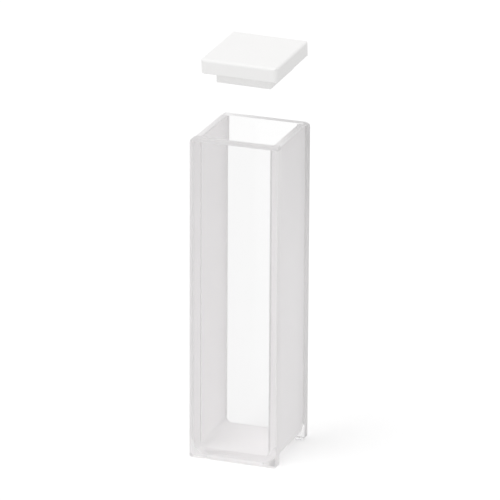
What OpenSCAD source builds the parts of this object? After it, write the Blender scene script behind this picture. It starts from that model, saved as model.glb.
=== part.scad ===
// Square spectrophotometer cuvette: two polished window plates fused to the front and
// back of a U-shaped ground frame, open at the top, with a loose PTFE lid held above it.
// The origin is the middle of the footprint, +Z runs up the cell, and the light
// passes along Y through the two windows. All sizes are in millimetres.

/* [Cell] */
// Width of each window plate, across the light path
window_w = 12.4; // [11.5:0.1:20]
// Depth of the cell over the outside of both windows
cell_d = 12.5; // [7:0.1:20]
// Height of the cell from its feet to its rim
cell_h = 45; // [20:0.5:80]

/* [Windows] */
// Thickness of each window plate
window_t = 1.25; // [0.8:0.05:2]
// Reach of each window plate past the frame, on each side
window_overhang = 0.2; // [0.05:0.05:0.5]
// Radius of the lower corners of both plates and of the front plate's upper corners
window_corner_r = 0.4; // [0.1:0.05:1]
// Radius of the rear plate's upper corners
rear_top_corner_r = 0.8; // [0.1:0.05:1.2]
// Bevel ground on the outer top edge of each plate
rim_bevel = 0.3; // [0.05:0.05:0.6]
// Arris along the plates' other outer edges
edge_arris = 0.08; // [0.02:0.02:0.2]

/* [Frame] */
// Thickness of the frame's two side walls
side_wall = 1; // [0.6:0.05:2]
// Thickness of the frame's floor
floor_t = 1; // [0.6:0.05:4]
// Height of the frame's underside above the feet
foot_h = 0.25; // [0.05:0.05:1]
// Radius of the cavity's lower corners
cavity_r = 1; // [0.3:0.1:2]
// Bevel on the frame's outer top edges
frame_bevel = 0.15; // [0.05:0.05:0.4]

/* [Lid] */
// Reach of the lid's flange over the rim, past the mouth on each side
flange_cover = 0.45; // [0.2:0.05:1.2]
// Thickness of the lid's flange
flange_t = 2; // [1:0.1:4]
// Gap between the lid's plug and the mouth, on each side
plug_clearance = 1; // [0.1:0.1:1.4]
// Depth of the lid's plug below its flange
plug_h = 1.7; // [0.5:0.1:6]
// Radius of the lid's upright corners
lid_corner_r = 0.6; // [0.2:0.1:1]
// Radius round the flange's top edge and the plug's lower edge
lid_edge_r = 0.35; // [0.1:0.05:0.45]
// Arris round the flange's lower edge
lid_arris = 0.1; // [0.05:0.05:0.3]

/* [Lid place] */
// Height of the lid's flange above the rim, where 0 seats the lid
lid_lift = 9.2; // [0:0.1:40]
// Shift of the lid to the right, where 0 centres it on the mouth
lid_shift = 0.6; // [0:0.1:0.6]
// Tip of the lid towards the front in degrees, where 0 is level
lid_tip = 4.5; // [0:0.5:10]
// Turn of the lid in degrees, anticlockwise from above, where 0 squares it with the cell
lid_turn = -3; // [-10:0.5:10]

/* [Hidden] */
$fn = 64;
// Overshoot of a cutter past the face that it cuts
past = 1;
frame_w = window_w - 2 * window_overhang;
mouth_w = frame_w - 2 * side_wall;
// Depth of the cavity between the windows, which is the cell's path length
path = cell_d - 2 * window_t;
// The frame's lower corners bend round the cavity's at an even thickness
frame_r = cavity_r + min(side_wall, floor_t);
flange_w = mouth_w + 2 * flange_cover;
flange_d = path + 2 * flange_cover;
plug_w = mouth_w - 2 * plug_clearance;
plug_d = path - 2 * plug_clearance;
// A narrow plug takes no more of the lid's radii than its width has room for
plug_corner_r = min(lid_corner_r, 0.45 * min(plug_w, plug_d));
plug_edge_r = min(lid_edge_r, 0.45 * min(plug_w, plug_d));
GLASS = [0.86, 0.9, 0.92, 0.45];
GROUND_GLASS = [0.84, 0.83, 0.83];
PTFE = [0.96, 0.96, 0.94];

// Two round corners of one radius, a width apart over their outsides, centred on X
module corner_pair(w, r) {
    for (side = [-1, 1])
        translate([side * (w / 2 - r), 0])
            circle(r = r);
}

// Rectangle centred on X that stands on y = 0, with one radius for its two
// lower corners and another, which may be 0, for its two upper ones
module arch_plate(w, h, low_r, top_r) {
    translate([0, low_r])
        corner_pair(w, low_r);
    translate([-w / 2 + low_r, 0])
        square([w - 2 * low_r, 2 * low_r]);
    translate([-w / 2, low_r])
        square([w, h - low_r - top_r]);
    if (top_r > 0) {
        translate([0, h - top_r])
            corner_pair(w, top_r);
        translate([-w / 2 + top_r, h - 2 * top_r])
            square([w - 2 * top_r, 2 * top_r]);
    }
}

// Rectangle centred on the origin with all four corners rounded
module rounded_rect(w, d, r) {
    translate([0, -d / 2])
        arch_plate(w, d, r, r);
}

// Stands an outline drawn in X and Y upright in X and Z, from y = 0 to y = t
module upright(t) {
    translate([0, t, 0])
        rotate([90, 0, 0])
            linear_extrude(t)
                children();
}

// Bar with a square section set on its edge, which planes a bevel of the given
// leg off an edge that runs along X through the origin
module bevel_bar(leg, length) {
    rotate([45, 0, 0])
        cube([length, leg * sqrt(2), leg * sqrt(2)], center = true);
}

// One window plate, with its outer face at y = 0 and its fused face at y = window_t
module window_plate(top_r) {
    difference() {
        upright(window_t)
            arch_plate(window_w, cell_h, window_corner_r, top_r);
        translate([0, 0, cell_h])
            bevel_bar(rim_bevel, window_w + past);
        bevel_bar(edge_arris, window_w + past);
        for (side = [-1, 1])
            translate([side * window_w / 2, 0, cell_h / 2])
                rotate([0, 90, 0])
                    bevel_bar(edge_arris, cell_h + past);
    }
}

module front_window() {
    color(GLASS)
        translate([0, -cell_d / 2, 0])
            window_plate(window_corner_r);
}

module rear_window() {
    color(GLASS)
        mirror([0, 1, 0])
            translate([0, -cell_d / 2, 0])
                window_plate(rear_top_corner_r);
}

// The two side walls and the floor as one bent piece, open at the top
module u_frame() {
    color(GROUND_GLASS)
        difference() {
            translate([0, -path / 2, foot_h])
                upright(path)
                    difference() {
                        arch_plate(frame_w, cell_h - foot_h, frame_r, 0);
                        translate([0, floor_t])
                            arch_plate(mouth_w, cell_h, cavity_r, 0);
                    }
            for (side = [-1, 1])
                translate([side * frame_w / 2, 0, cell_h])
                    rotate([0, 0, 90])
                        bevel_bar(frame_bevel, path + past);
        }
}

// Upright block on z = 0 with rounded upright corners, and with one radius along
// its lower edges and another along its upper ones
module soft_block(w, d, h, corner_r, low_r, top_r) {
    intersection() {
        linear_extrude(h)
            rounded_rect(w, d, corner_r);
        translate([0, -d / 2, 0])
            upright(d)
                arch_plate(w, h, low_r, top_r);
        rotate([0, 0, 90])
            translate([0, -w / 2, 0])
                upright(w)
                    arch_plate(d, h, low_r, top_r);
    }
}

// Lid with the underside of its flange at z = 0 and its plug below
module lid_body() {
    soft_block(flange_w, flange_d, flange_t, lid_corner_r, lid_arris, lid_edge_r);
    // The plug runs up to the middle of the flange, so that the two are one solid
    translate([0, 0, -plug_h])
        soft_block(plug_w, plug_d, plug_h + flange_t / 2, plug_corner_r, plug_edge_r, 0);
}

module lid() {
    color(PTFE)
        translate([lid_shift, 0, cell_h + lid_lift])
            rotate([lid_tip, 0, lid_turn])
                lid_body();
}

front_window();
rear_window();
u_frame();
lid();
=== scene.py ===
"""Looks of a square glass cuvette with its PTFE lid lifted off.

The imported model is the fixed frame, in metres. The two window plates and the lid keep
their CAD shapes and get procedural finishes here. The U-shaped ground frame is built
again with the seams at which it is fused to the plates.
"""

import math

import bmesh
import bpy
from bpy.props import FloatProperty, FloatVectorProperty, IntProperty, PointerProperty
from mathutils import Matrix, Vector


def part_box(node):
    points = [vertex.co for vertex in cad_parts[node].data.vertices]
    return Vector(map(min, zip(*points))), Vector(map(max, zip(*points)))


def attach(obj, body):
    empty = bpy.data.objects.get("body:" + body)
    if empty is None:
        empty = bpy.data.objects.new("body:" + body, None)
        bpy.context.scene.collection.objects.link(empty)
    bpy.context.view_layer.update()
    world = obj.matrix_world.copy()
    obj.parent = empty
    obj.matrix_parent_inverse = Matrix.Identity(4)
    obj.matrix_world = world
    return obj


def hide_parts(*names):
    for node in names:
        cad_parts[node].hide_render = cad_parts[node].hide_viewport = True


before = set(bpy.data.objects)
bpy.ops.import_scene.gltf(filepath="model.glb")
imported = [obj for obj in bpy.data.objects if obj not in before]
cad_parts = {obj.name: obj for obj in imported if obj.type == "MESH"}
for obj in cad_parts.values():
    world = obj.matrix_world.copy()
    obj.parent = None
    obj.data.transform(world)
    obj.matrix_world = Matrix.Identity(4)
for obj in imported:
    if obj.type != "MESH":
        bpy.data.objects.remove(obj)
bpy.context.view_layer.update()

bl_info = {
    "name": "Glass Cuvette",
    "version": (1, 0, 0),
    "blender": (4, 5, 0),
    "location": "View3D > Sidebar > Cuvette",
    "description": "Finishes, light and camera of a square glass cuvette with a PTFE lid",
    "category": "Object",
}

MM = 0.001
FRAME_LOW, FRAME_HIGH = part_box("u_frame")
PLATE_LOW, PLATE_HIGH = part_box("front_window")


# ---------------------------------------------------------------- sizes and colours

class CellLooks(bpy.types.PropertyGroup):
    """Sizes and colours of the glass cell"""

    side_wall: FloatProperty(
        name="Side wall", description="Thickness of the frame's side walls",
        default=1.0 * MM, unit="LENGTH", precision=5)
    floor_thickness: FloatProperty(
        name="Floor", description="Thickness of the frame's floor",
        default=1.0 * MM, unit="LENGTH", precision=5)
    cavity_radius: FloatProperty(
        name="Cavity radius", description="Radius of the cavity's lower corners",
        default=1.0 * MM, unit="LENGTH", precision=5)
    rim_bevel: FloatProperty(
        name="Rim bevel", description="Bevel on the frame's outer top edges",
        default=0.15 * MM, unit="LENGTH", precision=5)
    mouth_arris: FloatProperty(
        name="Mouth arris", description="Arris along the inner edges of the frame's rim",
        default=0.12 * MM, unit="LENGTH", precision=5)
    seam: FloatProperty(
        name="Seam",
        description="Arris round both ends of the frame, where it meets a plate",
        default=0.09 * MM, unit="LENGTH", precision=5)
    fillet: FloatProperty(
        name="Fillet",
        description="Fused fillet along the cavity's corners with the plates",
        default=0.2 * MM, unit="LENGTH", precision=5)
    gap: FloatProperty(
        name="Bond gap",
        description="Thickness of the bond between the frame and each plate",
        default=0.01 * MM, unit="LENGTH", precision=5)
    corner_steps: IntProperty(
        name="Corner steps", description="Faces round each lower corner", default=20, min=4)
    plate_bevel: FloatProperty(
        name="Plate bevel", description="Depth of the bevel on the plates' top edges",
        default=0.3 * MM, unit="LENGTH", precision=5)
    glass_tint: FloatVectorProperty(
        name="Glass tint", description="What one plate lets through",
        default=(0.95, 0.95, 0.95), subtype="COLOR", min=0, max=1)
    edge_share: FloatProperty(
        name="Edge share",
        description="Share of the light that the plates' edges let through",
        default=0.46, subtype="FACTOR", min=0, max=1)
    edge_within: FloatVectorProperty(
        name="Edge within",
        description="Colour of the light that the plates' edges let through",
        default=(0.92, 0.91, 0.912), subtype="COLOR", min=0, max=1)
    front_edge_tint: FloatVectorProperty(
        name="Front edge tint", description="Colour of the front plate's ground sides",
        default=(0.957, 0.947, 0.949), subtype="COLOR", min=0, max=1)
    # Painted shade: the front plate's up-facing rim is coloured darker than its sides
    rim_tint: FloatVectorProperty(
        name="Rim tint", description="Colour of the front plate's rim",
        default=(0.846, 0.838, 0.84), subtype="COLOR", min=0, max=1)
    front_bevel_tint: FloatVectorProperty(
        name="Front bevel tint", description="Colour of the front plate's bevel",
        default=(0.753, 0.745, 0.747), subtype="COLOR", min=0, max=1)
    # Painted shade: the rear plate's ground sides are coloured darker than the front plate's, and
    # darker still towards the top
    rear_edge_shade_tint: FloatVectorProperty(
        name="Rear edge shade tint", description="Colour of the rear plate's ground sides",
        default=(0.883, 0.878, 0.879), subtype="COLOR", min=0, max=1)
    rear_edge_shade_tone: FloatProperty(
        name="Rear edge shade tone",
        description="Tone of the rear plate's ground sides at the top",
        default=0.81, subtype="FACTOR", min=0, max=1)
    # Painted light: the rear plate's rim gets a lighter colour and lets less through than its
    # sides, which lightens it against the lid's shadow
    rear_rim_shadow_lift_tint: FloatVectorProperty(
        name="Rear rim shadow lift tint", description="Colour of the rear plate's rim",
        default=(0.976, 0.968, 0.97), subtype="COLOR", min=0, max=1)
    rear_rim_shadow_lift_share: FloatProperty(
        name="Rear rim shadow lift share",
        description="Share of the light that the rear plate's rim lets through",
        default=0.15, subtype="FACTOR", min=0, max=1)
    bevel_tint: FloatVectorProperty(
        name="Bevel tint", description="Colour of the frame's and the rear plate's bevels",
        default=(0.95, 0.942, 0.944), subtype="COLOR", min=0, max=1)
    corner_tint: FloatVectorProperty(
        name="Corner tint", description="Colour of the plates' rounded lower corners",
        default=(0.79, 0.782, 0.784), subtype="COLOR", min=0, max=1)
    strip_tint: FloatVectorProperty(
        name="Strip tint", description="Colour of the plates' strips beside the frame",
        default=(0.846, 0.838, 0.84), subtype="COLOR", min=0, max=1)
    foot_tint: FloatVectorProperty(
        name="Foot tint", description="Colour of the plates' lower corners past the frame",
        default=(1.0, 0.995, 0.996), subtype="COLOR", min=0, max=1)
    dark_patch_tint: FloatVectorProperty(
        name="Dark patch tint",
        description="Colour of the darker patch in the front plate's lower right corner",
        default=(0.5, 0.498, 0.495), subtype="COLOR", min=0, max=1)
    rear_foot_haze: FloatProperty(
        name="Rear foot haze",
        description="Haze of the rear plate's lower corners past the frame",
        default=0.22, subtype="FACTOR", min=0, max=1)
    rear_underside_haze: FloatProperty(
        name="Rear underside haze", description="Haze of the rear plate's lower edge",
        default=0.12, subtype="FACTOR", min=0, max=1)
    ground_share: FloatProperty(
        name="Ground share",
        description="Share of the light that the frame's outer faces and seams let through",
        default=0.3, subtype="FACTOR", min=0, max=1)
    ground_tint: FloatVectorProperty(
        name="Ground tint", description="Colour of the frame's outer ground faces",
        default=(0.95, 0.94, 0.943), subtype="COLOR", min=0, max=1)
    underside_tint: FloatVectorProperty(
        name="Underside tint", description="Colour of the frame's underside",
        default=(1.0, 0.995, 0.996), subtype="COLOR", min=0, max=1)
    upper_tone: FloatProperty(
        name="Upper tone", description="Tone of the frame's outer walls at the top",
        default=0.943, subtype="FACTOR", min=0, max=1)
    # Painted shade: a darker band on the outer walls just under the rim
    mouth_shade_tone: FloatProperty(
        name="Mouth shade tone", description="Tone of the frame's outer walls just under the rim",
        default=0.95, subtype="FACTOR", min=0, max=1)
    # Painted shade: the frame's up-facing rim is coloured darker than its sides
    frame_rim_shade_tint: FloatVectorProperty(
        name="Frame rim shade tint", description="Colour of the frame's ground rim",
        default=(0.893, 0.885, 0.887), subtype="COLOR", min=0, max=1)
    cavity_share: FloatProperty(
        name="Cavity share",
        description="Share of the light that the cavity's walls and floor let through",
        default=0.42, subtype="FACTOR", min=0, max=1)
    cavity_tint: FloatVectorProperty(
        name="Cavity tint", description="Colour of the cavity's ground walls",
        default=(0.995, 0.988, 0.99), subtype="COLOR", min=0, max=1)
    rear_tone: FloatProperty(
        name="Rear tone", description="Tone of the cavity's walls by the rear plate",
        default=0.914, subtype="FACTOR", min=0, max=1)
    # Painted shade in the creases where the cavity's walls bend into its floor
    crease_shade_tone: FloatProperty(
        name="Crease shade tone", description="Tone where the cavity's walls bend into its floor",
        default=0.93, subtype="FACTOR", min=0, max=1)
    # Painted shade: the cavity's up-facing floor is coloured darker than its walls at the front,
    # fading out towards the rear
    cavity_floor_shade_tint: FloatVectorProperty(
        name="Cavity floor shade tint", description="Colour of the cavity's floor at the front",
        default=(0.848, 0.842, 0.843), subtype="COLOR", min=0, max=1)
    cavity_floor_rear_tint: FloatVectorProperty(
        name="Cavity floor rear tint",
        description="Colour of the cavity's floor at the rear",
        default=(1.0, 0.995, 0.996), subtype="COLOR", min=0, max=1)
    seam_tint: FloatVectorProperty(
        name="Seam tint", description="Colour of the arris along the front seam",
        default=(0.807, 0.797, 0.799), subtype="COLOR", min=0, max=1)
    rear_seam_tint: FloatVectorProperty(
        name="Rear seam tint", description="Colour of the arris along the rear seam",
        default=(0.893, 0.883, 0.885), subtype="COLOR", min=0, max=1)
    seam_within: FloatVectorProperty(
        name="Seam within", description="Colour of the light that the seams let through",
        default=(0.85, 0.84, 0.842), subtype="COLOR", min=0, max=1)


class LidLooks(bpy.types.PropertyGroup):
    """Colours of the lid"""

    ptfe: FloatVectorProperty(
        name="PTFE", description="Colour of the lid",
        default=(0.95, 0.945, 0.94), subtype="COLOR", min=0, max=1)


class StageLooks(bpy.types.PropertyGroup):
    """Light and floor"""

    world_level: FloatProperty(
        name="Room light", description="Level of the light from all round", default=0.7)
    key_power: FloatProperty(
        name="Key strength", description="Strength of the lamp above", default=0.85)
    fill_power: FloatProperty(
        name="Fill strength", description="Strength of the low lamp in front", default=0.3)
    floor_colour: FloatVectorProperty(
        name="Floor", description="Colour of the floor",
        default=(0.8, 0.8, 0.8), subtype="COLOR", min=0, max=1)
    floor_lift: FloatProperty(
        name="Floor lift", description="White added to the floor where it is looked at",
        default=0.28)
    floor_drop: FloatProperty(
        name="Floor drop", description="Depth of the floor below the plates' lower edges",
        default=0.2 * MM, unit="LENGTH", precision=5)


# ---------------------------------------------------------------- node helpers

WHITE = (1.0, 1.0, 1.0, 1.0)
# A face looks straight along an axis where that part of its normal is over this
STRAIGHT = 0.95


def feed(tree, socket, value):
    """Links a socket to another one, or sets it to a number, a vector or a colour"""
    if isinstance(value, bpy.types.NodeSocket):
        tree.links.new(value, socket)
    elif socket.type == "RGBA":
        socket.default_value = (*value[:3], 1.0)
    else:
        socket.default_value = value


def node(tree, kind, inputs=None, **values):
    """Adds a node, sets its values, and feeds its inputs"""
    made = tree.nodes.new(kind)
    for key, value in values.items():
        setattr(made, key, value)
    for key, value in (inputs or {}).items():
        feed(tree, made.inputs[key], value)
    return made


def maths(tree, operation, a, b=None, clamp=False):
    """Result of a Math node on one or two numbers or sockets"""
    inputs = {0: a} if b is None else {0: a, 1: b}
    made = node(tree, "ShaderNodeMath", inputs, operation=operation, use_clamp=clamp)
    return made.outputs[0]


def ramp(tree, value, start, end, low=0.0, high=1.0):
    """Goes smoothly from low, where the value is at start, to high, where it is at end"""
    return node(tree, "ShaderNodeMapRange", {
        "Value": value, "From Min": start, "From Max": end, "To Min": low, "To Max": high},
        interpolation_type="SMOOTHSTEP").outputs[0]


def blended(tree, mask, first, second):
    """The first colour where the mask is 0 and the second where it is 1"""
    return node(tree, "ShaderNodeMix", {0: mask, 6: first, 7: second},
                data_type="RGBA").outputs[2]


def dimmed(tree, tint, tone):
    """A colour times a tone"""
    return node(tree, "ShaderNodeVectorMath", {0: tint, "Scale": tone},
                operation="SCALE").outputs[0]


def object_point(tree):
    """Place on the object, in metres, as a vector"""
    return node(tree, "ShaderNodeTexCoord").outputs["Object"]


def object_place(tree):
    """Place on the object, in metres, as X, Y and Z"""
    return node(tree, "ShaderNodeSeparateXYZ", {0: object_point(tree)}).outputs


def face_normal(tree):
    """Normal of a face, as X, Y and Z"""
    return node(tree, "ShaderNodeSeparateXYZ", {
        0: node(tree, "ShaderNodeNewGeometry").outputs["True Normal"]}).outputs


def straight(tree, part):
    """1 on faces that look straight along the axis of this part of their normal"""
    return maths(tree, "GREATER_THAN", maths(tree, "ABSOLUTE", part), STRAIGHT)


def new_material(name):
    """An empty node material and its node tree"""
    material = bpy.data.materials.new(name)
    material.use_nodes = True
    material.node_tree.nodes.clear()
    return material, material.node_tree


def surfaced(material, shader):
    """The material with this shader on its surface"""
    node(material.node_tree, "ShaderNodeOutputMaterial", {"Surface": shader})
    return material


# ---------------------------------------------------------------- shared effects

# Depth below the top in which a face counts as the rim
RIM_DEPTH = 0.01 * MM
# How far the darker tone reaches in from the rear plate, and the painted shade down from the
# mouth
REAR_REACH, MOUTH_SHADE_REACH = 3 * MM, 2 * MM
# Share of the height from which the outer walls darken towards the top
UPPER_START = 0.5
# Part that the fine grain has in the tone, beside the slow mottle
GRAIN_PART = 0.4
# Swing of the roughness from grain to grain
ROUGHNESS_SWING = 0.2


def new_group(name, inputs, outputs):
    """A shader node group with these named sockets: its tree, what it is given and what it
    puts out"""
    tree = bpy.data.node_groups.new(name, "ShaderNodeTree")
    kinds = {"value": "NodeSocketFloat", "colour": "NodeSocketColor"}
    for title, kind, default in inputs:
        socket = tree.interface.new_socket(title, in_out="INPUT", socket_type=kinds[kind])
        socket.default_value = default
    for title, kind in outputs:
        tree.interface.new_socket(title, in_out="OUTPUT", socket_type=kinds[kind])
    given = tree.nodes.new("NodeGroupInput").outputs
    put_out = tree.nodes.new("NodeGroupOutput").inputs
    return tree, given, put_out


def noise(tree, place, scale, detail, roughness):
    """Value of a Noise Texture node"""
    return node(tree, "ShaderNodeTexNoise", {
        "Vector": place, "Scale": scale, "Detail": detail, "Roughness": roughness}).outputs["Fac"]


def grain_group():
    """Fine grain over a slow mottle: a toned colour, a roughness and a height"""
    found = bpy.data.node_groups.get("Ground Grain")
    if found:
        return found
    tree, given, put_out = new_group(
        "Ground Grain",
        [("Colour", "colour", WHITE), ("Grain Scale", "value", 9000.0),
         ("Mottle Scale", "value", 300.0), ("Mottle", "value", 0.02),
         ("Roughness", "value", 0.6)],
        [("Colour", "colour"), ("Roughness", "value"), ("Height", "value")])
    place = object_point(tree)
    grain = noise(tree, place, given["Grain Scale"], detail=4.0, roughness=0.7)
    mottle = noise(tree, place, given["Mottle Scale"], detail=3.0, roughness=0.6)
    both = maths(tree, "ADD", maths(tree, "MULTIPLY", grain, GRAIN_PART),
                 maths(tree, "MULTIPLY", mottle, 1.0 - GRAIN_PART))
    swing = maths(tree, "MULTIPLY", maths(tree, "SUBTRACT", both, 0.5), given["Mottle"])
    # The noise runs from 0 to 1, so the tone is 1, give or take the mottle
    tone = maths(tree, "ADD", maths(tree, "MULTIPLY", swing, 2.0), 1.0)
    rougher = maths(tree, "MULTIPLY", maths(tree, "SUBTRACT", grain, 0.5), ROUGHNESS_SWING)
    feed(tree, put_out["Colour"], dimmed(tree, given["Colour"], tone))
    feed(tree, put_out["Roughness"], maths(tree, "ADD", given["Roughness"], rougher, clamp=True))
    feed(tree, put_out["Height"], grain)
    return tree


def tone_group():
    """Colour of ground glass: its sides, darker by the rear plate, towards the top and, as
    painted shade, just under the mouth, and the colours of its bevel and its rim"""
    found = bpy.data.node_groups.get("Ground Tone")
    if found:
        return found
    tree, given, put_out = new_group(
        "Ground Tone",
        [("Side", "colour", WHITE), ("Bevel", "colour", WHITE), ("Rim", "colour", WHITE),
         ("Bevel Depth", "value", 0.0), ("Rear Tone", "value", 1.0),
         ("Upper Tone", "value", 1.0), ("Mouth Shade Tone", "value", 1.0)],
        [("Colour", "colour")])
    place = object_place(tree)
    rear, top = FRAME_HIGH.y, FRAME_HIGH.z
    tone = maths(tree, "MULTIPLY",
                 ramp(tree, place["Y"], rear - REAR_REACH, rear, 1.0, given["Rear Tone"]),
                 ramp(tree, place["Z"], UPPER_START * top, top, 1.0, given["Upper Tone"]))
    # Painted shade: a darker band just under the mouth
    tone = maths(tree, "MULTIPLY", tone,
                 ramp(tree, place["Z"], top - MOUTH_SHADE_REACH, top, 1.0, given["Mouth Shade Tone"]))
    bevel_start = maths(tree, "SUBTRACT", top, given["Bevel Depth"])
    bevelled = maths(tree, "GREATER_THAN", place["Z"], bevel_start)
    topped = maths(tree, "GREATER_THAN", place["Z"], top - RIM_DEPTH)
    low = blended(tree, bevelled, dimmed(tree, given["Side"], tone), given["Bevel"])
    feed(tree, put_out["Colour"], blended(tree, topped, low, given["Rim"]))
    return tree


def grained(tree, tint, grain=9000.0, mottle_scale=300.0, mottle=0.02, roughness=0.6):
    """Toned colour, roughness and height of a grained surface in this colour"""
    return node(tree, "ShaderNodeGroup", {
        "Colour": tint, "Grain Scale": grain, "Mottle Scale": mottle_scale,
        "Mottle": mottle, "Roughness": roughness}, node_tree=grain_group()).outputs


def toned(tree, side, bevel, rim, bevel_depth=0.0, rear_tone=1.0, upper_tone=1.0,
          mouth_shade_tone=1.0):
    """Colour of ground glass with these colours and tones"""
    return node(tree, "ShaderNodeGroup", {
        "Side": side, "Bevel": bevel, "Rim": rim, "Bevel Depth": bevel_depth,
        "Rear Tone": rear_tone, "Upper Tone": upper_tone, "Mouth Shade Tone": mouth_shade_tone},
        node_tree=tone_group()).outputs["Colour"]


# ---------------------------------------------------------------- glass and PTFE

GLASS_IOR, PTFE_IOR = 1.46, 1.38
# Share of a lamp's light that each ground face of the frame lets past
LAMP_SHARE = (0.4, 0.4, 0.4)
# A face of the frame is its underside where the upright part of its normal is over this
LEVEL = 0.7
# The same part of a cavity face's normal, from 0 on the walls to 1 on the floor: where the
# painted shade in a crease comes in, where it goes out, and where the floor's colour comes in
CREASE_RISE, CREASE_FALL, FLOOR_RISE = (0.05, 0.4), (0.4, 0.8), (0.55, 0.85)
# How far past the frame's ends a face still counts as a plate's inner one
INNER_REACH = 0.1 * MM
# Reach of the plates' rounded lower corners, from each of their two edges
CORNER_REACH = 0.35 * MM
# Height up to which a level face is a plate's lower edge
FOOT_REACH = 1 * MM
# Distance from its corner at which the darker patch starts to fade, and at which it is gone
DARK_PATCH_FULL, DARK_PATCH_END = 0.9 * MM, 1.6 * MM


def bumped(tree, height, distance, strength):
    """Normals of a surface with this height"""
    return node(tree, "ShaderNodeBump", {
        "Height": height, "Distance": distance, "Strength": strength}).outputs[0]


def ground_shader(tree, tint, share, within):
    """Frosted glass: a rough surface that scatters light back and, for a share, through
    in the colour within"""
    finish = grained(tree, tint)
    rough = bumped(tree, finish["Height"], distance=0.004 * MM, strength=0.5)
    back = node(tree, "ShaderNodeBsdfPrincipled", {
        "Base Color": finish["Colour"], "Roughness": finish["Roughness"], "Normal": rough,
        "IOR": GLASS_IOR, "Specular IOR Level": 0.3}).outputs[0]
    through = node(tree, "ShaderNodeBsdfTranslucent", {
        "Color": within, "Normal": rough}).outputs[0]
    return node(tree, "ShaderNodeMixShader", {0: share, 1: back, 2: through}).outputs[0]


def clear_shader(tree, tint):
    """Polished clear glass"""
    return node(tree, "ShaderNodeBsdfPrincipled", {
        "Base Color": tint, "Roughness": 0.0, "Transmission Weight": 1.0,
        "IOR": GLASS_IOR}).outputs[0]


def lamps_pass(tree, shader, tint):
    """The shader, with rays from lamps let through in this tint"""
    shadow = node(tree, "ShaderNodeLightPath").outputs["Is Shadow Ray"]
    clear = node(tree, "ShaderNodeBsdfTransparent", {"Color": tint}).outputs[0]
    return node(tree, "ShaderNodeMixShader", {0: shadow, 1: shader, 2: clear}).outputs[0]


def frosted(material, tint, share, within):
    """The material with frosted glass on its surface, which lets some lamp light past"""
    tree = material.node_tree
    shader = ground_shader(tree, tint, share, within)
    return surfaced(material, lamps_pass(tree, shader, LAMP_SHARE))


def outer_bend(looks):
    """Radius of the frame's outer lower corners, which bend round the cavity's"""
    return looks.cavity_radius + min(looks.side_wall, looks.floor_thickness)


def plate_zones(tree, looks, rear):
    """A plate's mask of clear glass, and the mask and colour of each place that isn't: its
    rounded lower corners, the strips of its inner face beside the frame, that face's
    corners past the frame's round ones, and the darker patch in the front plate's right one"""

    def over(a, b):
        return maths(tree, "GREATER_THAN", a, b)

    def times(a, b):
        return maths(tree, "MULTIPLY", a, b)

    def less(a, b):
        return maths(tree, "SUBTRACT", a, b)

    normal = face_normal(tree)
    place = object_place(tree)
    flat = straight(tree, normal["Y"])
    inner = over(FRAME_HIGH.y + INNER_REACH, maths(tree, "ABSOLUTE", place["Y"]))
    aside = maths(tree, "ABSOLUTE", place["X"])
    # How far a point lies from the middle of the frame's round corner, out and down
    bend = outer_bend(looks)
    beside = maths(tree, "MAXIMUM", less(aside, FRAME_HIGH.x - bend), 0.0)
    below = maths(tree, "MAXIMUM", less(FRAME_LOW.z + bend, place["Z"]), 0.0)
    reach = maths(tree, "SQRT", maths(tree, "ADD", times(beside, beside), times(below, below)))
    past = times(times(over(reach, bend - looks.seam), over(beside, 0.0)), times(flat, inner))
    foot = times(past, over(below, 0.0))
    strip = less(past, foot)
    corner = times(over(aside, PLATE_HIGH.x - CORNER_REACH),
                   over(PLATE_LOW.z + CORNER_REACH, place["Z"]))
    zones = [(corner, looks.corner_tint), (strip, looks.strip_tint), (foot, looks.foot_tint)]
    if rear:
        under = times(straight(tree, normal["Z"]), over(PLATE_LOW.z + FOOT_REACH, place["Z"]))
        clear = less(less(flat, strip), times(foot, looks.rear_foot_haze))
        clear = maths(tree, "ADD", clear, times(under, 1.0 - looks.rear_underside_haze))
        return clear, zones
    away = node(tree, "ShaderNodeVectorMath", {
        0: object_point(tree), 1: (PLATE_HIGH.x, PLATE_HIGH.y, PLATE_LOW.z)},
        operation="DISTANCE").outputs["Value"]
    dark_patch = times(foot, ramp(tree, away, DARK_PATCH_FULL, DARK_PATCH_END, 1.0, 0.0))
    return less(flat, past), [*zones, (dark_patch, looks.dark_patch_tint)]


def plate_glass(looks, name, side_tint, rim_tint, bevel_tint, rear=False):
    """Clear polished faces with ground sides, rim and bevel"""
    material, tree = new_material(name)
    clear, zones = plate_zones(tree, looks, rear)
    side = side_tint
    for mask, tint in zones:
        side = blended(tree, mask, side, tint)
    upper_tone, share = 1.0, looks.edge_share
    if rear:
        # Painted shade: the rear plate's sides darken towards the top
        upper_tone = looks.rear_edge_shade_tone
        # Painted light: less is let through on the rear rim, to lighten it against the lid's
        # shadow
        topped = maths(tree, "GREATER_THAN", object_place(tree)["Z"], PLATE_HIGH.z - RIM_DEPTH)
        change = maths(tree, "MULTIPLY", topped, looks.rear_rim_shadow_lift_share - looks.edge_share)
        share = maths(tree, "ADD", looks.edge_share, change)
    # The rim colour is painted: darker as shade on the front plate, lighter against the lid's
    # shadow on the rear one
    tint = toned(tree, side, bevel_tint, rim_tint, looks.plate_bevel, upper_tone=upper_tone)
    edge = ground_shader(tree, tint, share, looks.edge_within)
    both = node(tree, "ShaderNodeMixShader", {
        0: clear, 1: edge, 2: clear_shader(tree, looks.glass_tint)}).outputs[0]
    return surfaced(material, lamps_pass(tree, both, looks.glass_tint))


def bonded_glass(looks):
    """The frame's clear ends, which are fused to the plates"""
    material, tree = new_material("Bonded Ends")
    clear = clear_shader(tree, looks.glass_tint)
    return surfaced(material, lamps_pass(tree, clear, looks.glass_tint))


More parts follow.
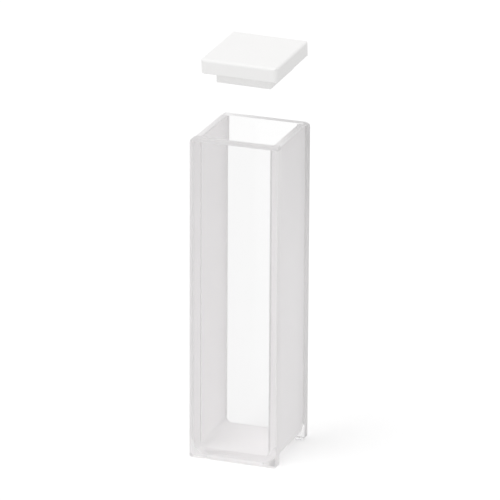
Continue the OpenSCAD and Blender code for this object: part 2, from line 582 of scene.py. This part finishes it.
def ground_glass(looks):
    """The frame's frosted outer faces, underside, bevel and rim"""
    material, tree = new_material("Ground Frame")
    level = maths(tree, "GREATER_THAN", maths(tree, "ABSOLUTE", face_normal(tree)["Z"]), LEVEL)
    side = blended(tree, level, looks.ground_tint, looks.underside_tint)
    # Painted shade: the rim colour is darker than the sides
    tint = toned(tree, side, looks.bevel_tint, looks.frame_rim_shade_tint, looks.rim_bevel,
                 upper_tone=looks.upper_tone, mouth_shade_tone=looks.mouth_shade_tone)
    return frosted(material, tint, looks.ground_share, looks.ground_tint)


def cavity_glass(looks):
    """The cavity's frosted walls, with painted shade in the creases where they bend, and its
    floor, which is painted darker as shade, most at the front
    """
    material, tree = new_material("Ground Cavity")
    level = maths(tree, "ABSOLUTE", face_normal(tree)["Z"])
    walls = toned(tree, looks.cavity_tint, looks.bevel_tint, looks.frame_rim_shade_tint,
                  rear_tone=looks.rear_tone)
    # Painted shade along the crease
    crease_shade = maths(tree, "MULTIPLY", ramp(tree, level, *CREASE_RISE),
                 ramp(tree, level, *CREASE_FALL, 1.0, 0.0))
    tone = maths(tree, "ADD", 1.0, maths(tree, "MULTIPLY", crease_shade, looks.crease_shade_tone - 1.0))
    # Painted shade on the cavity's up-facing floor, darkest at the front
    back = ramp(tree, object_place(tree)["Y"], FRAME_LOW.y, FRAME_HIGH.y)
    floor = blended(tree, back, looks.cavity_floor_shade_tint, looks.cavity_floor_rear_tint)
    tint = blended(tree, ramp(tree, level, *FLOOR_RISE), dimmed(tree, walls, tone), floor)
    return frosted(material, tint, looks.cavity_share, looks.cavity_tint)


def seam_glass(looks):
    """The darker arris and fillet along the frame's seams"""
    material, tree = new_material("Frame Seam")
    back = maths(tree, "GREATER_THAN", object_place(tree)["Y"], 0.0)
    tint = blended(tree, back, looks.seam_tint, looks.rear_seam_tint)
    return frosted(material, tint, looks.ground_share, looks.seam_within)


def lid_ptfe(looks):
    """Matt white PTFE with a fine grain and a faint mottle"""
    material, tree = new_material("Lid PTFE")
    finish = grained(tree, looks.ptfe, grain=5000.0, mottle_scale=500.0, mottle=0.015,
                     roughness=0.55)
    shader = node(tree, "ShaderNodeBsdfPrincipled", {
        "Base Color": finish["Colour"], "Roughness": finish["Roughness"],
        "Normal": bumped(tree, finish["Height"], distance=0.01 * MM, strength=0.4),
        "IOR": PTFE_IOR, "Specular IOR Level": 0.4}).outputs[0]
    return surfaced(material, shader)


# ---------------------------------------------------------------- frame mesh

# The frame's finishes, in the order of its material slots
GROUND, BONDED, SEAM, CAVITY = 0, 1, 2, 3
# Shares of a side wall's height at which its faces are parted
WALL_STEPS = (0.25, 0.5, 0.75)
# Edges that bend by more than this stay sharp
SHARP_ANGLE = math.radians(25)


def frame_stations(looks):
    """Inner and outer points of the U, from the left rim round to the right one"""
    half, low, high = FRAME_HIGH.x, FRAME_LOW.z, FRAME_HIGH.z
    inner = half - looks.side_wall
    floor = low + looks.floor_thickness
    radius, bend = looks.cavity_radius, outer_bend(looks)
    centre_x, centre_z = inner - radius, floor + radius
    right = [((centre_x, floor), (centre_x, low))]
    for step in range(1, looks.corner_steps + 1):
        turn = math.pi / 2 * step / looks.corner_steps
        way = (math.sin(turn), -math.cos(turn))
        right.append((
            (centre_x + radius * way[0], centre_z + radius * way[1]),
            (half - bend + bend * way[0], low + bend + bend * way[1])))
    for share in WALL_STEPS:
        z = centre_z + share * (high - centre_z)
        right.append(((inner, z), (half, z)))
    right.append(((inner, high - looks.mouth_arris), (half, high - looks.rim_bevel)))
    left = [((-a[0], a[1]), (-b[0], b[1])) for a, b in reversed(right)]
    return left + right


def narrowed(loop, distances):
    """A closed outline, drawn with its inside on the right, with the lines at each corner
    moved in by its distance"""
    moved = []
    for before, here, after, distance in zip(
            loop[-1:] + loop[:-1], loop, loop[1:] + loop[:1], distances):
        come = Vector((here[0] - before[0], here[1] - before[1])).normalized()
        leave = Vector((after[0] - here[0], after[1] - here[1])).normalized()
        inward = Vector((come.y + leave.y, -come.x - leave.x))
        inward *= 2 * distance / inward.length_squared
        moved.append((here[0] + inward.x, here[1] + inward.y))
    return moved


def frame_outlines(looks):
    """The frame's closed outline, the outline of its two ends, which has a fillet along
    the cavity and an arris elsewhere, and the number of points along the cavity"""
    stations = frame_stations(looks)
    count = len(stations)
    high = FRAME_HIGH.z
    inner = FRAME_HIGH.x - looks.side_wall + looks.mouth_arris
    outer = FRAME_HIGH.x - looks.rim_bevel
    loop = [a for a, _ in stations] + [(inner, high), (outer, high)]
    loop += [b for _, b in reversed(stations)] + [(-outer, high), (-inner, high)]
    # How far the ends' outline moves in at each point. Along the cavity it moves out, for
    # the fillet, which runs out to nothing at the floor
    floor = FRAME_LOW.z + looks.floor_thickness
    reach = [-looks.fillet * min(1.0, (z - floor) / looks.cavity_radius)
             for _, z in loop[:count]]
    reach += [looks.seam] * (len(loop) - count)
    # By the mouth the fillet keeps the height of the wall's last point
    reach[0] = reach[count - 1] = 0.0
    ends = narrowed(loop, reach)
    mouth = inner - looks.mouth_arris - looks.fillet
    ends[0], ends[count - 1] = (-mouth, loop[0][1]), (mouth, loop[count - 1][1])
    return loop, ends, count


def frame_mesh(looks):
    """The U-shaped frame as one closed mesh"""
    loop, ends, count = frame_outlines(looks)
    around = len(loop)
    end = FRAME_HIGH.y - looks.gap
    mesh = bmesh.new()
    rings = [[mesh.verts.new((x, y, z)) for x, z in points] for y, points in (
        (-end, ends), (-end + looks.fillet, loop), (end - looks.fillet, loop), (end, ends))]

    def face(corners, finish):
        mesh.faces.new(corners).material_index = finish

    # The bands along the frame: its seam at the front, its walls and its seam at the rear
    for i in range(around):
        j = (i + 1) % around
        if i < count - 1:
            wall = CAVITY
        elif i in (count - 1, around - 1):
            wall = SEAM
        else:
            wall = GROUND
        for (a, b), finish in zip(zip(rings, rings[1:]), (SEAM, wall, SEAM)):
            face((a[i], a[j], b[j], b[i]), finish)
    # The two ends: a quad between each pair of stations, and one at each top
    for ring in (rings[0], rings[3]):
        for i in range(count - 1):
            j = around - 3 - i
            face((ring[i], ring[i + 1], ring[j - 1], ring[j]), BONDED)
        face(ring[count - 1:count + 3], BONDED)
        face((ring[0], *ring[around - 3:]), BONDED)
    bmesh.ops.recalc_face_normals(mesh, faces=mesh.faces)
    data = bpy.data.meshes.new("ground_frame")
    mesh.to_mesh(data)
    mesh.free()
    data.shade_smooth()
    data.set_sharp_from_angle(angle=SHARP_ANGLE)
    return data


# ---------------------------------------------------------------- stage

# Half of the floor's width and depth, in metres
FLOOR_REACH = 3.0
# Each lamp's spread, in degrees, and the way that its light goes
KEY_SPREAD, KEY_WAY = 40, (0.115, 0.2, -0.55)
FILL_SPREAD, FILL_WAY = 60, (0.05, 1.0, -0.12)
# Distance of the lamps from the origin, where a sun lamp lights as from anywhere else
LAMP_DISTANCE = 0.5
CAMERA_TARGET = Vector((0.05, 0.0, 28.2)) * MM
CAMERA_DISTANCE = 650.1 * MM
# In degrees
CAMERA_AZIMUTH, CAMERA_ELEVATION, CAMERA_ROLL = 20.08, 19.62, 0.29
# In millimetres, as Blender takes them
CAMERA_LENS, SENSOR_WIDTH = 351.8, 36.0


def put(obj):
    """Puts an object in the scene"""
    bpy.context.scene.collection.objects.link(obj)
    return obj


def seen_rays(tree):
    """1 for rays that the camera sees directly, mirrored or through glass"""
    path = node(tree, "ShaderNodeLightPath").outputs
    seen = maths(tree, "MAXIMUM", path["Is Camera Ray"], path["Is Glossy Ray"])
    seen = maths(tree, "MAXIMUM", seen, path["Is Transmission Ray"])
    # The depth counts the matt surfaces before, so it is 0 on a ray that met none
    direct = maths(tree, "LESS_THAN", path["Diffuse Depth"], 0.5)
    return maths(tree, "MULTIPLY", seen, direct)


def add_floor(looks):
    """Adds the pale floor, with white added where it is looked at"""
    mesh = bpy.data.meshes.new("floor")
    corners = ((-1, -1), (1, -1), (1, 1), (-1, 1))
    mesh.from_pydata(
        [(x * FLOOR_REACH, y * FLOOR_REACH, -looks.floor_drop) for x, y in corners],
        [], [(0, 1, 2, 3)])
    floor = put(bpy.data.objects.new("floor", mesh))
    material, tree = new_material("Pale Floor")
    plain = node(tree, "ShaderNodeBsdfPrincipled", {
        "Base Color": looks.floor_colour, "Roughness": 0.9,
        "Specular IOR Level": 0.0}).outputs[0]
    lift = node(tree, "ShaderNodeEmission", {
        "Color": WHITE,
        "Strength": maths(tree, "MULTIPLY", seen_rays(tree), looks.floor_lift)}).outputs[0]
    both = node(tree, "ShaderNodeAddShader", {0: plain, 1: lift}).outputs[0]
    mesh.materials.append(surfaced(material, both))


def add_room_light(context, looks):
    """Adds an even light from all round, which is white where it is looked at"""
    world = bpy.data.worlds.new("Studio")
    world.use_nodes = True
    tree = world.node_tree
    tree.nodes.clear()
    rest = maths(tree, "MULTIPLY", seen_rays(tree), 1.0 - looks.world_level)
    light = node(tree, "ShaderNodeBackground", {
        "Color": WHITE, "Strength": maths(tree, "ADD", looks.world_level, rest)}).outputs[0]
    node(tree, "ShaderNodeOutputWorld", {"Surface": light})
    context.scene.world = world


def add_lamps(looks):
    """Adds a soft key lamp from above and a softer fill lamp from low in front"""
    for name, spread, power, way in (
            ("key", KEY_SPREAD, looks.key_power, KEY_WAY),
            ("fill", FILL_SPREAD, looks.fill_power, FILL_WAY)):
        lamp = bpy.data.lights.new(name, "SUN")
        lamp.angle = math.radians(spread)
        lamp.energy = power
        obj = put(bpy.data.objects.new(name, lamp))
        obj.location = Vector(way).normalized() * -LAMP_DISTANCE
        obj.rotation_euler = Vector(way).to_track_quat("-Z", "Y").to_euler()


def add_camera(context):
    """Adds the camera, which looks at its target from its azimuth and elevation"""
    data = bpy.data.cameras.new("camera")
    data.lens, data.sensor_width = CAMERA_LENS, SENSOR_WIDTH
    data.clip_start, data.clip_end = 0.01, 20.0
    camera = put(bpy.data.objects.new("camera", data))
    az, el, roll = (math.radians(a) for a in (CAMERA_AZIMUTH, CAMERA_ELEVATION, CAMERA_ROLL))
    back = Vector((math.sin(az) * math.cos(el), -math.cos(az) * math.cos(el), math.sin(el)))
    right = (-back).cross(Vector((0, 0, 1))).normalized()
    up = right.cross(-back)
    x_axis = math.cos(roll) * right + math.sin(roll) * up
    y_axis = math.cos(roll) * up - math.sin(roll) * right
    turn = Matrix((x_axis, y_axis, back)).transposed().to_4x4()
    camera.matrix_world = Matrix.Translation(CAMERA_TARGET + back * CAMERA_DISTANCE) @ turn
    context.scene.camera = camera


def allow_bounces(cycles):
    """Lets light find its way out of the frosted walls, with none lost to blurring"""
    cycles.blur_glossy = 0.0
    cycles.max_bounces = 32
    cycles.diffuse_bounces = 12
    cycles.glossy_bounces = 12
    cycles.transmission_bounces = 24


# ---------------------------------------------------------------- operators and panel

def give(name, material):
    """Gives a CAD node its material"""
    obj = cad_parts[name]
    obj.data.materials.clear()
    obj.data.materials.append(material)
    return obj


class CUVETTE_OT_plates(bpy.types.Operator):
    """Finish the two window plates: polished faces and ground edges"""

    bl_idname = "cuvette.plates"
    bl_label = "Window Plates"

    def execute(self, context):
        looks = context.scene.cell_looks
        front = give("front_window", plate_glass(
            looks, "Front Plate", looks.front_edge_tint, looks.rim_tint,
            looks.front_bevel_tint))
        rear = give("rear_window", plate_glass(
            looks, "Rear Plate", looks.rear_edge_shade_tint, looks.rear_rim_shadow_lift_tint,
            looks.bevel_tint, rear=True))
        return {"FINISHED"}


class CUVETTE_OT_frame(bpy.types.Operator):
    """Build the ground U-shaped frame between the plates"""

    bl_idname = "cuvette.frame"
    bl_label = "Ground Frame"

    def execute(self, context):
        looks = context.scene.cell_looks
        piece = put(bpy.data.objects.new("ground_frame", frame_mesh(looks)))
        for finish in (ground_glass, bonded_glass, seam_glass, cavity_glass):
            piece.data.materials.append(finish(looks))
        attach(piece, "root")
        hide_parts("u_frame")
        return {"FINISHED"}


class CUVETTE_OT_lid(bpy.types.Operator):
    """Finish the lid in matt PTFE"""

    bl_idname = "cuvette.lid"
    bl_label = "Lid"

    def execute(self, context):
        lid = give("lid", lid_ptfe(context.scene.lid_looks))
        return {"FINISHED"}


class CUVETTE_OT_stage(bpy.types.Operator):
    """Set up the floor, the light and the camera"""

    bl_idname = "cuvette.stage"
    bl_label = "Stage"

    def execute(self, context):
        looks = context.scene.stage_looks
        add_floor(looks)
        add_room_light(context, looks)
        add_lamps(looks)
        add_camera(context)
        context.scene.view_settings.view_transform = "Standard"
        allow_bounces(context.scene.cycles)
        return {"FINISHED"}


class CUVETTE_PT_panel(bpy.types.Panel):
    """Pieces, finishes and stage of the cuvette"""

    bl_idname = "CUVETTE_PT_panel"
    bl_label = "Cuvette"
    bl_space_type = "VIEW_3D"
    bl_region_type = "UI"
    bl_category = "Cuvette"

    def draw(self, context):
        for operator in OPERATORS:
            self.layout.operator(operator.bl_idname)
        for name, group in SETTINGS.items():
            box = self.layout.box()
            for setting in group.__annotations__:
                box.prop(getattr(context.scene, name), setting)


SETTINGS = {"cell_looks": CellLooks, "lid_looks": LidLooks, "stage_looks": StageLooks}
OPERATORS = (CUVETTE_OT_plates, CUVETTE_OT_frame, CUVETTE_OT_lid, CUVETTE_OT_stage)
CLASSES = (*SETTINGS.values(), *OPERATORS, CUVETTE_PT_panel)


def register():
    """Registers the classes and gives each scene its sizes and colours"""
    for cls in CLASSES:
        bpy.utils.register_class(cls)
    for name, group in SETTINGS.items():
        setattr(bpy.types.Scene, name, PointerProperty(type=group))


def unregister():
    """Takes away what register added"""
    for name in SETTINGS:
        delattr(bpy.types.Scene, name)
    for cls in reversed(CLASSES):
        bpy.utils.unregister_class(cls)


def main():
    """Builds the pieces and the stage"""
    register()
    bpy.ops.cuvette.plates()
    bpy.ops.cuvette.frame()
    bpy.ops.cuvette.lid()
    bpy.ops.cuvette.stage()


if __name__ == "__main__":
    main()
